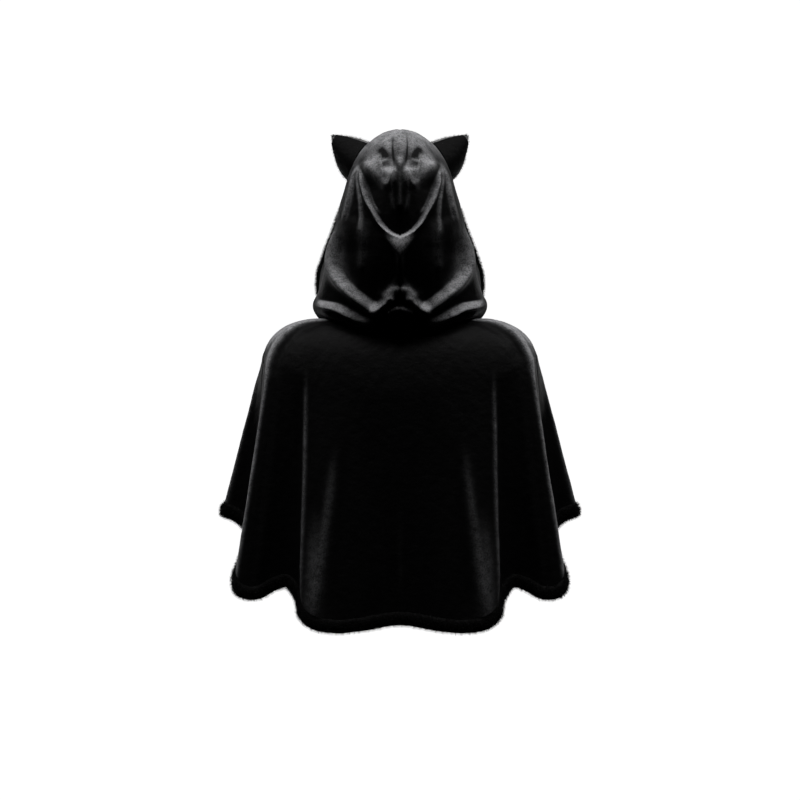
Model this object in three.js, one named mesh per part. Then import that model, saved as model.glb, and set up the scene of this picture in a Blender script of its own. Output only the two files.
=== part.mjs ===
// A short hooded cape in black velvet, with fur trims and two cat ears, filled out as when worn.
// Millimetres, +Z up. The cape's front faces -Y and its back faces +Y; the wearer's left is +X.
// The origin is the middle of the neck opening, at the height of the neck seam.
import * as THREE from 'three';

// Driving dimensions
const VELVET = 2;
const SEAM_TURN = 0.08;
const NECK_GAP = 0.6;
const SIDE_SEAM_TURN = 81;
const FRONT_EDGE_TURN = 178;
const SHOULDER_SHARE = 0.3;
const SECTION_POWER = 2.12;
const FOLD_GROWTH = 0.95;

// Rings from the neck seam over the shoulders: half width, depths behind and before, and heights
const SHOULDER_RINGS = [
  { run: 0.00, half: 118, back: 70, front: 74, backZ: -11, sideZ: 11, frontZ: -47 },
  { run: 0.25, half: 151, back: 82, front: 90, backZ: -27, sideZ: 9, frontZ: -61 },
  { run: 0.50, half: 184, back: 94, front: 104, backZ: -49, sideZ: -2, frontZ: -79 },
  { run: 0.75, half: 207, back: 104, front: 114, backZ: -77, sideZ: -22, frontZ: -98 },
  { run: 1.00, half: 220, back: 112, front: 121, backZ: -109, sideZ: -50, frontZ: -119 },
  { run: 1.25, half: 230, back: 118, front: 127, backZ: -146, sideZ: -86, frontZ: -146 },
];

// The smooth ring that the hem folds swing about
const MEAN_HEM = { half: 260, back: 148, front: 152 };

// The hem of the velvet, one side, from the middle of the back round to the front edge
const HEM_FOLDS = [
  { name: 'other back crest', turn: -15, x: -62, y: 171, z: -455 },
  { name: 'centre back', turn: 0, x: 0, y: 159, z: -447 },
  { name: 'back crest', turn: 16, x: 67, y: 172, z: -456 },
  { name: 'back crest end', turn: 24, x: 100, y: 176, z: -458 },
  { name: 'back corner', turn: 31, x: 130, y: 168, z: -453 },
  { name: 'back turn', turn: 37, x: 149, y: 148, z: -438 },
  { name: 'back flank', turn: 42, x: 158, y: 122, z: -412 },
  { name: 'back valley', turn: 47, x: 174, y: 102, z: -393 },
  { name: 'side back rise', turn: 53, x: 200, y: 98, z: -398 },
  { name: 'side back crest', turn: 60, x: 229, y: 103, z: -412 },
  { name: 'side back turn', turn: 66, x: 251, y: 90, z: -405 },
  { name: 'side back flank', turn: 71, x: 257, y: 66, z: -385 },
  { name: 'side valley in', turn: 76, x: 247, y: 41, z: -350 },
  { name: 'side valley', turn: 81, x: 238, y: 22, z: -322 },
  { name: 'side valley out', turn: 87, x: 252, y: 3, z: -298 },
  { name: 'side crest', turn: 94, x: 276, y: -12, z: -286 },
  { name: 'side crest end', turn: 101, x: 280, y: -38, z: -287 },
  { name: 'side flank', turn: 108, x: 260, y: -62, z: -298 },
  { name: 'front side valley', turn: 116, x: 238, y: -82, z: -312 },
  { name: 'front side crest', turn: 124, x: 224, y: -110, z: -326 },
  { name: 'front side turn', turn: 133, x: 193, y: -137, z: -338 },
  { name: 'front valley', turn: 143, x: 150, y: -142, z: -347 },
  { name: 'front crest', turn: 153, x: 116, y: -165, z: -355 },
  { name: 'front crest end', turn: 163, x: 76, y: -169, z: -361 },
  { name: 'front edge valley', turn: 172, x: 38, y: -160, z: -365 },
  { name: 'front edge', turn: 180, x: 7, y: -170, z: -367 },
];

// Arcs of the hood from the neck seam up over the crown: each runs from the centre seam,
// through its widest point at the side, to the edge of the face opening
const SIDE_SHARE = 0.6;
const HOOD_ARCS = [
  { up: 0.000, seamY: 70, seamZ: -11, sideX: 118, sideY: 0, sideZ: 11, edgeX: 4, edgeY: -74, edgeZ: -47 },
  { up: 0.044, seamY: 88, seamZ: 2, sideX: 131, sideY: -3, sideZ: 16, edgeX: 30, edgeY: -87, edgeZ: -38 },
  { up: 0.092, seamY: 96, seamZ: 25, sideX: 139, sideY: -6, sideZ: 25, edgeX: 64, edgeY: -96, edgeZ: -20 },
  { up: 0.164, seamY: 101, seamZ: 60, sideX: 134, sideY: -8, sideZ: 43, edgeX: 112, edgeY: -100, edgeZ: 12 },
  { up: 0.245, seamY: 104, seamZ: 100, sideX: 126, sideY: -8, sideZ: 68, edgeX: 131, edgeY: -97, edgeZ: 48 },
  { up: 0.325, seamY: 104, seamZ: 140, sideX: 119, sideY: -7, sideZ: 96, edgeX: 132, edgeY: -94, edgeZ: 82 },
  { up: 0.405, seamY: 102, seamZ: 180, sideX: 112, sideY: -5, sideZ: 126, edgeX: 125, edgeY: -94, edgeZ: 114 },
  { up: 0.475, seamY: 96, seamZ: 215, sideX: 106, sideY: -3, sideZ: 153, edgeX: 113, edgeY: -96, edgeZ: 144 },
  { up: 0.550, seamY: 84, seamZ: 250, sideX: 99, sideY: -2, sideZ: 181, edgeX: 101, edgeY: -99, edgeZ: 176 },
  { up: 0.620, seamY: 64, seamZ: 280, sideX: 91, sideY: -4, sideZ: 208, edgeX: 91, edgeY: -102, edgeZ: 204 },
  { up: 0.690, seamY: 36, seamZ: 302, sideX: 84, sideY: -10, sideZ: 233, edgeX: 83, edgeY: -105, edgeZ: 226 },
  { up: 0.770, seamY: 0, seamZ: 314, sideX: 74, sideY: -24, sideZ: 257, edgeX: 74, edgeY: -108, edgeZ: 246 },
  { up: 0.870, seamY: -50, seamZ: 310, sideX: 60, sideY: -55, sideZ: 279, edgeX: 61, edgeY: -111, edgeZ: 262 },
  { up: 0.950, seamY: -90, seamZ: 297, sideX: 46, sideY: -90, sideZ: 285, edgeX: 49, edgeY: -112, edgeZ: 273 },
  { up: 1.000, seamY: -112, seamZ: 288, sideX: 32, sideY: -113, sideZ: 283, edgeX: 40, edgeY: -113, edgeZ: 278 },
];

// Folds on the back of the hood, one side: a line seen from behind, its spread and its height
const HOOD_FOLDS = [
  { name: 'cowl lip', spread: 12, height: 9, line: [[64, 240], [60, 224], [53, 193], [37, 160], [18, 143], [0, 134]] },
  { name: 'cowl hollow', spread: 24, height: -14, line: [[0, 220], [0, 163]] },
  { name: 'swag', spread: 14, height: 9, line: [[100, 150], [109, 100], [106, 74], [84, 50], [59, 31], [30, 14]] },
  { name: 'swag hollow', spread: 15, height: -8, line: [[86, 138], [82, 80], [58, 52], [34, 58]] },
  { name: 'gathers', spread: 13, height: 7, line: [[12, 52], [0, 57]] },
  { name: 'neck roll', spread: 10, height: 5, line: [[128, 33], [117, 34], [91, 26], [53, 4], [41, 2]] },
];
const FOLD_FADE = { from: -10, to: 35 };

// Fur: half its thickness through the cloth, half its height along it, and the corner power
const FUR_SEAM = 0.4;
const HEM_FUR = { thick: 8, tall: 12, power: 2.5, sides: 8 };
const HOOD_FUR = { thick: 8.5, tall: 11, power: 2.5, sides: 8 };

// Ears: where the base lies on the hood, as shares across and up, and the tip above it
const EAR_BASE = [
  { along: 0.0, across: 0.36, up: 0.885 },
  { along: 0.5, across: 0.56, up: 0.790 },
  { along: 1.0, across: 0.80, up: 0.715 },
];
const EAR_TIP = { x: 109, y: -62, z: 307, width: 7 };
const EAR_BOW = { inner: 3, outer: 10 };
const EAR_SEAT = 0.6;
const EAR_PLY = 3.2;
const EAR_PLY_GAP = 0.3;
const EAR_FRONT_LIFT = 0.03;

// Hook and eye that close the throat: wire radius, the eye's ring and the hook's path,
// with x across the throat, d down the front and h out from the cloth
const WIRE = 0.8;
const CLASP_DROP = 0.035;
const EYE = { middle: -9, long: 7.5, wide: 4.2, turns: 9 };
const HOOK_PATH = [
  { x: 7.5, d: 2.7, h: 0 },
  { x: 10.5, d: 4.2, h: 0 },
  { x: 14.0, d: 3.0, h: 0 },
  { x: 15.5, d: 0.0, h: 0 },
  { x: 14.0, d: -3.0, h: 0 },
  { x: 10.5, d: -4.2, h: 0 },
  { x: 7.2, d: -2.6, h: 0 },
  { x: 4.8, d: -0.4, h: 0.8 },
  { x: 2.0, d: 0.0, h: 2.1 },
  { x: -1.5, d: 0.0, h: 2.5 },
  { x: -4.6, d: 0.0, h: 1.9 },
  { x: -5.6, d: 0.0, h: 0.6 },
  { x: -4.6, d: 0.0, h: 0.0 },
];

const COLOURS = {
  velvet: { color: 0x0d0d0f, roughness: 0.75, metalness: 0 },
  fur: { color: 0x101012, roughness: 0.9, metalness: 0 },
  steel: { color: 0x55565a, roughness: 0.35, metalness: 1 },
};

// Smooth curve through a table's rows, for one column
function columnAt(rows, key, column, at) {
  let i = 0;
  while (i < rows.length - 2 && at > rows[i + 1][key]) i += 1;
  const slope = (k) => {
    const a = rows[Math.max(k - 1, 0)];
    const b = rows[k];
    const c = rows[Math.min(k + 1, rows.length - 1)];
    if (a === b) return (c[column] - b[column]) / (c[key] - b[key]);
    if (b === c) return (b[column] - a[column]) / (b[key] - a[key]);
    const before = (b[column] - a[column]) / (b[key] - a[key]);
    const after = (c[column] - b[column]) / (c[key] - b[key]);
    const share = (b[key] - a[key]) / (c[key] - a[key]);
    return before * (1 - share) + after * share;
  };
  const gap = rows[i + 1][key] - rows[i][key];
  const s = (at - rows[i][key]) / gap;
  const h1 = s * s * (3 - 2 * s);
  const value = rows[i][column] * (1 - h1) + rows[i + 1][column] * h1;
  return value + gap * s * (1 - s) * ((1 - s) * slope(i) - s * slope(i + 1));
}

function rowAt(rows, key, at) {
  const out = {};
  for (const column of Object.keys(rows[0])) {
    if (typeof rows[0][column] === 'number') out[column] = columnAt(rows, key, column, at);
  }
  return out;
}

const radians = (degrees) => (degrees * Math.PI) / 180;
const power = (value, exponent) => Math.sign(value) * Math.abs(value) ** exponent;

// A ring round the body; turn is 0 behind, 90 at the side and 180 before
function ringPoint(ring, turn, squareness) {
  const c = Math.cos(radians(turn));
  const s = Math.sin(radians(turn));
  const depth = c > 0 ? ring.back : ring.front;
  const endZ = c > 0 ? ring.backZ : ring.frontZ;
  const x = ring.half * power(s, 2 / squareness);
  const y = depth * power(c, 2 / squareness);
  const z = ring.sideZ + (endZ - ring.sideZ) * c * c;
  return new THREE.Vector3(x, y, z);
}

// The outer face of the cape; drop is 0 at the neck seam and 1 at the velvet's hem
function capePoint(turn, drop) {
  const side = Math.sign(turn) || 1;
  const around = Math.abs(turn);
  const run = drop / SHOULDER_SHARE;
  const squareness = 2 + (SECTION_POWER - 2) * Math.min(run, 1);
  const ring = rowAt(SHOULDER_RINGS, 'run', Math.min(run, 1));
  const point = ringPoint(ring, around, squareness);
  if (run > 1) {
    const hang = (drop - SHOULDER_SHARE) / (1 - SHOULDER_SHARE);
    const mean = ringPoint({ ...MEAN_HEM, backZ: 0, sideZ: 0, frontZ: 0 }, around, SECTION_POWER);
    const hem = rowAt(HEM_FOLDS, 'turn', around);
    const grown = hang ** FOLD_GROWTH;
    point.x += (mean.x - point.x) * hang + (hem.x - mean.x) * grown;
    point.y += (mean.y - point.y) * hang + (hem.y - mean.y) * grown;
    point.z += (hem.z - point.z) * hang;
  }
  point.x *= side;
  return point;
}

// How far a point seen from behind lies from a fold's line, and how far along the line
function lineDistance(line, x, z) {
  let best = Infinity;
  let along = 0;
  for (let i = 0; i < line.length - 1; i += 1) {
    const [ax, az] = line[i];
    const [bx, bz] = line[i + 1];
    const dx = bx - ax;
    const dz = bz - az;
    const t = THREE.MathUtils.clamp(((x - ax) * dx + (z - az) * dz) / (dx * dx + dz * dz), 0, 1);
    const far = Math.hypot(x - ax - t * dx, z - az - t * dz);
    if (far < best) {
      best = far;
      along = (i + t) / (line.length - 1);
    }
  }
  return { far: best, along };
}

function foldHeight(x, y, z) {
  const facing = THREE.MathUtils.smoothstep(y, FOLD_FADE.from, FOLD_FADE.to);
  if (facing === 0) return 0;
  let height = 0;
  for (const fold of HOOD_FOLDS) {
    const { far, along } = lineDistance(fold.line, Math.abs(x), z);
    const taper = THREE.MathUtils.smoothstep(along, -0.25, 0.3);
    height += fold.height * taper * Math.exp(-((far / fold.spread) ** 2));
  }
  return height * facing;
}

// The hood before its folds; across is 0 at the centre seam and 1 at the face opening
function hoodForm(across, up) {
  const arc = rowAt(HOOD_ARCS, 'up', up);
  const stops = [
    { at: -SIDE_SHARE, y: arc.sideY, z: arc.sideZ },
    { at: 0, y: arc.seamY, z: arc.seamZ },
    { at: SIDE_SHARE, y: arc.sideY, z: arc.sideZ },
    { at: 1, y: arc.edgeY, z: arc.edgeZ },
  ];
  const y = columnAt(stops, 'at', 'y', across);
  const z = columnAt(stops, 'at', 'z', across);
  let x = arc.sideX * Math.sin(((across / SIDE_SHARE) * Math.PI) / 2);
  if (across > SIDE_SHARE) {
    const beyond = (across - SIDE_SHARE) / (1 - SIDE_SHARE);
    x = arc.sideX + (arc.edgeX - arc.sideX) * beyond * beyond;
  }
  return new THREE.Vector3(x, y, z);
}

// The turn round the neck that a share across the hood meets at the neck seam
function neckTurn(across) {
  if (across < SIDE_SHARE) return (90 * across) / SIDE_SHARE;
  return 90 + ((FRONT_EDGE_TURN - 90) * (across - SIDE_SHARE)) / (1 - SIDE_SHARE);
}

const NECK_BLEND = 0.1;

// The brow, from the centre seam to the end of the side edge, is an arc of this many degrees
const BROW_ARC = 28;
const BROW_BLEND = 0.12;

function browPoint(across) {
  const last = HOOD_ARCS[HOOD_ARCS.length - 1];
  const radius = last.edgeX / Math.sin(radians(BROW_ARC));
  const angle = radians(BROW_ARC * across);
  const y = last.seamY + (last.edgeY - last.seamY) * across;
  return new THREE.Vector3(radius * Math.sin(angle), y, last.seamZ - radius * (1 - Math.cos(angle)));
}

// The outer face of one half of the hood
function hoodSmooth(across, up) {
  const point = hoodForm(across, up);
  if (up < NECK_BLEND) {
    const seam = ringPoint(SHOULDER_RINGS[0], neckTurn(across), 2);
    seam.z += NECK_GAP;
    const hold = (1 - up / NECK_BLEND) ** 2;
    point.addScaledVector(seam.sub(hoodForm(across, 0)), hold);
  }
  if (up > 1 - BROW_BLEND) {
    const hold = ((up - 1 + BROW_BLEND) / BROW_BLEND) ** 2;
    point.addScaledVector(browPoint(across).sub(hoodForm(across, 1)), hold);
  }
  return point;
}

function hoodPoint(across, up) {
  const point = hoodSmooth(across, up);
  const height = foldHeight(point.x, point.y, point.z) * THREE.MathUtils.smoothstep(up, 0, 0.06);
  return point.addScaledVector(hoodNormal(across, up, hoodSmooth), height);
}

// The unit normal of a surface, on the side that the given order of its two runs makes the outer
function normalOf(surface, u, v, stepU, order) {
  const stepV = 0.002;
  const along = surface(u + stepU, v).sub(surface(u - stepU, v));
  const low = Math.max(v - stepV, 0);
  const high = Math.min(v + stepV, 1);
  const upward = surface(u, high).sub(surface(u, low));
  return along.cross(upward).normalize().multiplyScalar(order);
}

const capeNormal = (turn, drop) => normalOf(capePoint, turn, drop, 0.2, 1);

// At the brow the hood's two runs lie along one line, so its normal is taken a little inside
const BROW = { across: 0.93, up: 0.96 };

function hoodNormal(across, up, surface = hoodPoint) {
  const nearBrow = across > BROW.across && up > BROW.up;
  if (nearBrow) return normalOf(surface, BROW.across, BROW.up, 0.002, -1);
  return normalOf(surface, across, up, 0.002, -1);
}

function geometryOf(points, faces) {
  const geometry = new THREE.BufferGeometry();
  const positions = [];
  for (const point of points) positions.push(point.x, point.y, point.z);
  let volume = 0;
  for (const [a, b, c] of faces) {
    volume += points[a].dot(points[b].clone().cross(points[c]));
  }
  const outward = volume > 0 ? faces : faces.map(([a, b, c]) => [a, c, b]);
  geometry.setAttribute('position', new THREE.Float32BufferAttribute(positions, 3));
  geometry.setIndex(outward.flat());
  geometry.computeVertexNormals();
  return geometry;
}

// A wall of cloth between two matching grids of points
function wallBetween(outer, inner) {
  const columns = outer.length;
  const rows = outer[0].length;
  const points = [...outer.flat(), ...inner.flat()];
  const at = (layer, i, j) => layer * columns * rows + i * rows + j;
  const faces = [];
  const quad = (a, b, c, d) => faces.push([a, b, c], [a, c, d]);
  for (let i = 0; i < columns - 1; i += 1) {
    for (let j = 0; j < rows - 1; j += 1) {
      quad(at(0, i, j), at(0, i, j + 1), at(0, i + 1, j + 1), at(0, i + 1, j));
      quad(at(1, i, j), at(1, i + 1, j), at(1, i + 1, j + 1), at(1, i, j + 1));
    }
    quad(at(0, i, 0), at(0, i + 1, 0), at(1, i + 1, 0), at(1, i, 0));
    quad(at(0, i, rows - 1), at(1, i, rows - 1), at(1, i + 1, rows - 1), at(0, i + 1, rows - 1));
  }
  for (let j = 0; j < rows - 1; j += 1) {
    quad(at(0, 0, j), at(1, 0, j), at(1, 0, j + 1), at(0, 0, j + 1));
    quad(at(0, columns - 1, j), at(0, columns - 1, j + 1), at(1, columns - 1, j + 1), at(1, columns - 1, j));
  }
  return geometryOf(points, faces);
}

function clothWall(surface, normal, us, vs) {
  const outer = us.map((u) => vs.map((v) => surface(u, v)));
  const inner = us.map((u, i) => vs.map((v, j) => (
    outer[i][j].clone().addScaledVector(normal(u, v), -VELVET)
  )));
  return { outer, inner };
}

// A closed roll of fur through matching rings of points
function rollThrough(rings) {
  const sides = rings[0].length;
  const points = rings.flat();
  const first = points.length;
  for (const ring of [rings[0], rings[rings.length - 1]]) {
    const middle = new THREE.Vector3();
    for (const point of ring) middle.addScaledVector(point, 1 / sides);
    points.push(middle);
  }
  const faces = [];
  for (let k = 0; k < sides; k += 1) {
    const next = (k + 1) % sides;
    for (let i = 0; i < rings.length - 1; i += 1) {
      const a = i * sides;
      const b = a + sides;
      faces.push([a + k, b + k, b + next], [a + k, b + next, a + next]);
    }
    const last = (rings.length - 1) * sides;
    faces.push([first, k, next], [first + 1, last + next, last + k]);
  }
  return geometryOf(points, faces);
}

// A ring of fur past the cloth's edge; out is the cloth's normal, and on runs past the edge
function furRing(edge, out, tangent, inside, fur) {
  const on = tangent.clone().cross(out).normalize();
  if (on.dot(edge.clone().sub(inside)) < 0) on.negate();
  const ring = [];
  const middle = edge.clone().addScaledVector(on, fur.tall + FUR_SEAM);
  middle.addScaledVector(out, -VELVET / 2);
  for (let k = 0; k < fur.sides; k += 1) {
    const angle = ((k + 0.5) / fur.sides) * 2 * Math.PI;
    const point = middle.clone();
    point.addScaledVector(out, fur.thick * power(Math.cos(angle), 2 / fur.power));
    point.addScaledVector(on, fur.tall * power(Math.sin(angle), 2 / fur.power));
    ring.push(point);
  }
  return ring;
}

// Turns that stand at equal steps along the hem
function evenTurns(from, to, count) {
  const fine = 400;
  const lengths = [0];
  let last = capePoint(from, 1);
  for (let i = 1; i <= fine; i += 1) {
    const point = capePoint(from + ((to - from) * i) / fine, 1);
    lengths.push(lengths[i - 1] + point.distanceTo(last));
    last = point;
  }
  const turns = [];
  for (let k = 0; k <= count; k += 1) {
    const want = Math.min((lengths[fine] * k) / count, lengths[fine]);
    const i = Math.max(lengths.findIndex((length) => length >= want), 1);
    const share = (want - lengths[i - 1]) / (lengths[i] - lengths[i - 1]);
    turns.push(from + ((to - from) * (i - 1 + share)) / fine);
  }
  return turns;
}

const steps = (from, to, count) => (
  Array.from({ length: count + 1 }, (_, i) => from + ((to - from) * i) / count)
);

function material(kind) {
  return new THREE.MeshStandardMaterial(COLOURS[kind]);
}

const cape = new THREE.Group();

function add(name, geometry, kind) {
  const mesh = new THREE.Mesh(geometry, material(kind));
  mesh.name = name;
  cape.add(mesh);
}

// The back and the two fronts, each with the fur roll below its hem
const DROPS = [...steps(0, 0.3, 6), ...steps(0.3, 1, 7).slice(1)];
const HEM_STEP = 0.3;

function panel(name, from, to, count) {
  const turns = evenTurns(from, to, count);
  const wall = clothWall(capePoint, capeNormal, turns, DROPS);
  add(name, wallBetween(wall.outer, wall.inner), 'velvet');
  const rings = turns.map((turn) => {
    const tangent = capePoint(turn + HEM_STEP, 1).sub(capePoint(turn - HEM_STEP, 1));
    return furRing(capePoint(turn, 1), capeNormal(turn, 1), tangent, capePoint(turn, 0.98), HEM_FUR);
  });
  add(`${name}_hem_fur`, rollThrough(rings), 'fur');
}

panel('back', -SIDE_SEAM_TURN + SEAM_TURN, SIDE_SEAM_TURN - SEAM_TURN, 48);
panel('front_left', SIDE_SEAM_TURN + SEAM_TURN, FRONT_EDGE_TURN, 24);
panel('front_right', -FRONT_EDGE_TURN, -SIDE_SEAM_TURN - SEAM_TURN, 24);

// The two halves of the hood, with the fur roll round the face opening
const CENTRE_SHARE = 0.0008;
const CENTRE_GAP = 0.15;
const ACROSS = [...steps(CENTRE_SHARE, SIDE_SHARE, 12), ...steps(SIDE_SHARE, 1, 7).slice(1)];
const UPS = [...steps(0, 0.5, 19), ...steps(0.5, 1, 8).slice(1)];
const FUR_START = 0.01;

function onSide(points, side) {
  return points.map((point) => (
    new THREE.Vector3(Math.max(point.x, CENTRE_GAP) * side, point.y, point.z)
  ));
}

function faceFurRings() {
  const rings = [];
  for (const up of UPS.filter((value) => value > FUR_START)) {
    const tangent = hoodPoint(1, Math.min(up + 0.01, 1)).sub(hoodPoint(1, up - 0.01));
    rings.push(furRing(hoodPoint(1, up), hoodNormal(1, up), tangent, hoodPoint(0.97, up), HOOD_FUR));
  }
  for (const across of [...ACROSS].reverse().slice(2)) {
    const tangent = hoodPoint(across - 0.01, 1).sub(hoodPoint(across + 0.01, 1));
    const inside = hoodPoint(across, 0.97);
    rings.push(furRing(hoodPoint(across, 1), hoodNormal(across, 1), tangent, inside, HOOD_FUR));
  }
  return rings;
}

function hoodHalf(side, label) {
  const wall = clothWall(hoodPoint, hoodNormal, ACROSS, UPS);
  const outer = wall.outer.map((column) => onSide(column, side));
  const inner = wall.inner.map((column) => onSide(column, side));
  add(`hood_${label}`, wallBetween(outer, inner), 'velvet');
  const rings = faceFurRings().map((ring) => onSide(ring, side));
  add(`hood_${label}_fur`, rollThrough(rings), 'fur');
}

hoodHalf(1, 'left');
hoodHalf(-1, 'right');

// The middle sheet of an ear; along runs down its base from the crown, rise runs to its tip
function earPoint(along, rise) {
  const seat = (share) => {
    const { across, up } = rowAt(EAR_BASE, 'along', share);
    return hoodPoint(across, up).addScaledVector(hoodNormal(across, up), EAR_SEAT);
  };
  const slant = seat(1).sub(seat(0)).normalize();
  const tip = new THREE.Vector3(EAR_TIP.x, EAR_TIP.y, EAR_TIP.z);
  tip.addScaledVector(slant, (along - 0.5) * EAR_TIP.width);
  const bow = (EAR_BOW.outer + EAR_BOW.inner) * along - EAR_BOW.inner;
  const point = seat(along).lerp(tip, rise);
  return point.addScaledVector(slant, bow * 4 * rise * (1 - rise));
}

function earPly(side, label, face) {
  const sheets = [EAR_PLY_GAP / 2, EAR_PLY_GAP / 2 + EAR_PLY].map((out) => (
    steps(0, 1, 6).map((along) => steps(face > 0 ? 0 : EAR_FRONT_LIFT, 1, 5).map((rise) => {
      const normal = normalOf(earPoint, along, rise, 0.002, 1);
      if (normal.y < 0) normal.negate();
      return earPoint(along, rise).addScaledVector(normal, out * face);
    }))
  ));
  const [inner, outer] = sheets.map((sheet) => sheet.map((column) => onSide(column, side)));
  const name = face > 0 ? `ear_${label}_back` : `ear_${label}_front`;
  add(name, wallBetween(outer, inner), face > 0 ? 'velvet' : 'fur');
}

for (const [side, label] of [[1, 'left'], [-1, 'right']]) {
  earPly(side, label, 1);
  earPly(side, label, -1);
}

// A point on the fronts by the throat, x across, d down from the clasp and h out of the cloth
function throatPoint({ x, d, h }) {
  const turn = 180 - (Math.asin(x / SHOULDER_RINGS[0].half) * 180) / Math.PI;
  const step = 0.01;
  const across = capePoint(turn, CLASP_DROP + step).distanceTo(capePoint(turn, CLASP_DROP));
  const drop = CLASP_DROP + (d * step) / across;
  const lift = WIRE + FUR_SEAM + h;
  return capePoint(turn, drop).addScaledVector(capeNormal(turn, drop), lift);
}

function wireThrough(points, closed) {
  const curve = new THREE.CatmullRomCurve3(points, closed);
  const count = points.length * 2;
  const frames = curve.computeFrenetFrames(count, closed);
  const rings = steps(0, 1, count).map((share, i) => (
    steps(0, 5, 5).map((k) => {
      const angle = (k / 6) * 2 * Math.PI;
      const point = curve.getPointAt(share);
      point.addScaledVector(frames.normals[i], WIRE * Math.cos(angle));
      return point.addScaledVector(frames.binormals[i], WIRE * Math.sin(angle));
    })
  ));
  return rings;
}

const eyePath = steps(0, EYE.turns, EYE.turns).map((k) => {
  const angle = radians(14 + (332 * k) / EYE.turns);
  const x = EYE.middle - EYE.long * Math.cos(angle + Math.PI);
  return throatPoint({ x, d: EYE.wide * Math.sin(angle), h: 0 });
});
add('throat_eye', rollThrough(wireThrough(eyePath, false)), 'steel');
add('throat_hook', rollThrough(wireThrough(HOOK_PATH.map(throatPoint), false)), 'steel');

export default cape;
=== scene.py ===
# %% [markdown]
# # A short hooded cape in black velvet
# The cape is a back and two fronts of stretch velvet with a hood of two halves, two cat ears,
# and a strip of black faux fur along the hem and round the face opening. It is filled out as
# when worn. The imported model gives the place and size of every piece; this script gives the
# cloth its fine folds, its pile and its fur.

import math

import bmesh
import bpy
import numpy as np
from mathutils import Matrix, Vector


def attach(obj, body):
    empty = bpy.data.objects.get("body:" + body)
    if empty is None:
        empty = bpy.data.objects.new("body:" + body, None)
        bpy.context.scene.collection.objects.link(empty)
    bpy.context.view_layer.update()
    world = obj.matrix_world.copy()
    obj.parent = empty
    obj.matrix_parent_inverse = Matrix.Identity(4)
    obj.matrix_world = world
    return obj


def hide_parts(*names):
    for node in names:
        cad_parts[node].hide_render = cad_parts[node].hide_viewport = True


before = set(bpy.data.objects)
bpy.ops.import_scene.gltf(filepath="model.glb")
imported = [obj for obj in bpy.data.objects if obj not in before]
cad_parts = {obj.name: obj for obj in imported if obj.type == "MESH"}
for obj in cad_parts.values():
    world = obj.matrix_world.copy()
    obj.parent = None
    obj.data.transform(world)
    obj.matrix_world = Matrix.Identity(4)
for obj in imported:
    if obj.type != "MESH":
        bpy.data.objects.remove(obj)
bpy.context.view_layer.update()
MM = 0.001
BODY = "root"

# %% [markdown]
# The photograph was taken straight from behind with a long lens. A camera can be matched to it by
# eye, or worked out. Here a pixel of it is 1.6 mm at the middle of the cape, so the distance and the
# width of the view give the focal length, and the sizes can be checked against the photograph.

# %% Camera
PHOTO_PIXELS = 800
PIXEL_SIZE = 1.6 * MM
VIEW_DISTANCE = 4.5
VIEW_HEIGHT_Z = -0.120
SENSOR = 36.0
CLIP_END = 60.0

camera_data = bpy.data.cameras.new("camera")
camera_data.sensor_width = SENSOR
camera_data.lens = SENSOR * VIEW_DISTANCE / (PHOTO_PIXELS * PIXEL_SIZE)
camera_data.clip_end = CLIP_END
camera = bpy.data.objects.new("camera", camera_data)
camera.location = (0.0, VIEW_DISTANCE, VIEW_HEIGHT_Z)
camera.rotation_euler = (math.radians(90), 0.0, math.radians(180))
bpy.context.scene.collection.objects.link(camera)
bpy.context.scene.camera = camera
bpy.context.scene.view_settings.view_transform = "Standard"
print("lens:", round(camera_data.lens, 1), "mm")

# %% [markdown]
# Noise, masks and heights are sums and products of node sockets. They can be wired by hand, one
# Math node after another, but an expression is easier to read and to change. So a small class
# wraps a socket: adding or multiplying two of them makes the Math node that does it. The
# reflected forms let a plain number come first, as in 1 - mask.

# %% Shader helper
class Flow:
    """A number or colour that flows out of a node's socket."""

    def __init__(self, tree, socket):
        self.tree = tree
        self.socket = socket

    def node(self, kind, settings=None, ramp=None, out=0, **inputs):
        made = self.tree.nodes.new(kind)
        for name, value in (settings or {}).items():
            setattr(made, name, value)
        if ramp:
            for stop, (place, shade) in zip(_stops(made.color_ramp, len(ramp)), ramp):
                stop.position = place
                stop.color = (shade, shade, shade, 1.0)
        for name, value in inputs.items():
            key = int(name[1:]) if name[1:].isdigit() else name.replace("_", " ")
            put(self.tree, made.inputs[key], value)
        return Flow(self.tree, made.outputs[out])

    def _math(self, operation, first, second):
        return self.node("ShaderNodeMath", {"operation": operation}, i0=first, i1=second)

    def __add__(self, other):
        return self._math("ADD", self, other)

    __radd__ = __add__

    def __sub__(self, other):
        return self._math("SUBTRACT", self, other)

    def __rsub__(self, other):
        return self._math("SUBTRACT", other, self)

    def __mul__(self, other):
        return self._math("MULTIPLY", self, other)

    __rmul__ = __mul__

    def __truediv__(self, other):
        return self._math("DIVIDE", self, other)

    def __rtruediv__(self, other):
        return self._math("DIVIDE", other, self)

    def limited(self):
        return self.node("ShaderNodeClamp", i0=self)


def _stops(color_ramp, count):
    while len(color_ramp.elements) < count:
        color_ramp.elements.new(0.5)
    return color_ramp.elements


def put(tree, socket, value):
    if isinstance(value, Flow):
        tree.links.new(value.socket, socket)
    else:
        socket.default_value = value


def new_material(name):
    material = bpy.data.materials.new(name)
    material.use_nodes = True
    tree = material.node_tree
    shader = tree.nodes["Principled BSDF"]
    place = Flow(tree, tree.nodes.new("ShaderNodeTexCoord").outputs["Object"])
    return material, tree, shader, place


def constants(shader, **values):
    for name, value in values.items():
        shader.inputs[name.replace("_", " ")].default_value = value


print("a socket can be added, taken away, multiplied, divided and limited")

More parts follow.
